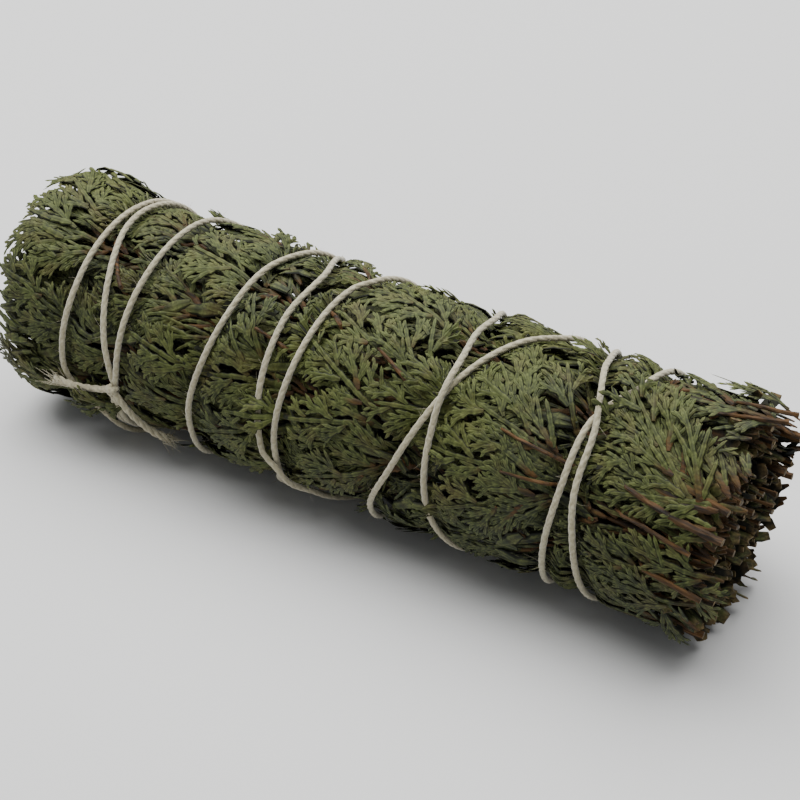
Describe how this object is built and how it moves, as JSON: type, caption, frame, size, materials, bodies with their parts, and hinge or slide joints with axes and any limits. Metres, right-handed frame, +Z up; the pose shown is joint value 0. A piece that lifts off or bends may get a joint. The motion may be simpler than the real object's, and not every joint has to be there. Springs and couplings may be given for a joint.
{
  "type": "cedar smudge stick",
  "caption": "Dried flat cedar sprays laid lengthwise into a round stick, tips at one end and cut stems at the other, bound in crossing turns of knotted white cotton string.",
  "frame": {"origin": "Middle of the stick's length and width, on the surface that it lies on.", "axes": "+X runs along the stick from the leafy tips to the cut stems, +Z is up, and the knot is on the -Y side."},
  "size_m": [0.1078, 0.0338, 0.0311],
  "materials": {
    "leaves": "matte, dried scale leaves",
    "inner_leaves": "matte, dried scale leaves",
    "stems": "matte, thin dry bark and cut wood",
    "cotton": "matte, undyed cotton"
  },
  "bodies": {
    "root": {"spray_01": "leaves", "spray_02": "leaves", "spray_03": "leaves", "spray_04": "leaves", "spray_05": "leaves", "spray_06": "leaves", "spray_07": "leaves", "spray_08": "leaves", "spray_09": "leaves", "spray_10": "leaves", "spray_11": "leaves", "spray_12": "leaves", "spray_13": "leaves", "spray_14": "leaves", "spray_15": "leaves", "spray_16": "leaves", "spray_17": "leaves", "spray_18": "leaves", "spray_19": "leaves", "spray_20": "leaves", "spray_21": "leaves", "spray_22": "leaves", "spray_23": "leaves", "spray_24": "leaves", "spray_25": "leaves", "spray_26": "leaves", "spray_27": "leaves", "spray_28": "leaves", "spray_29": "leaves", "spray_30": "leaves", "spray_31": "leaves", "spray_32": "leaves", "spray_33": "leaves", "spray_34": "leaves", "spray_35": "leaves", "spray_36": "leaves", "spray_37": "leaves", "spray_38": "leaves", "spray_39": "leaves", "spray_40": "leaves", "spray_41": "leaves", "spray_42": "leaves", "spray_43": "leaves", "spray_44": "leaves", "spray_45": "leaves", "spray_46": "leaves", "spray_47": "leaves", "spray_48": "leaves", "spray_49": "leaves", "spray_50": "leaves", "spray_51": "leaves", "spray_52": "leaves", "inner_sprays": "inner_leaves", "inner_stems": "stems", "string": "cotton"}
  },
  "joints": []
}
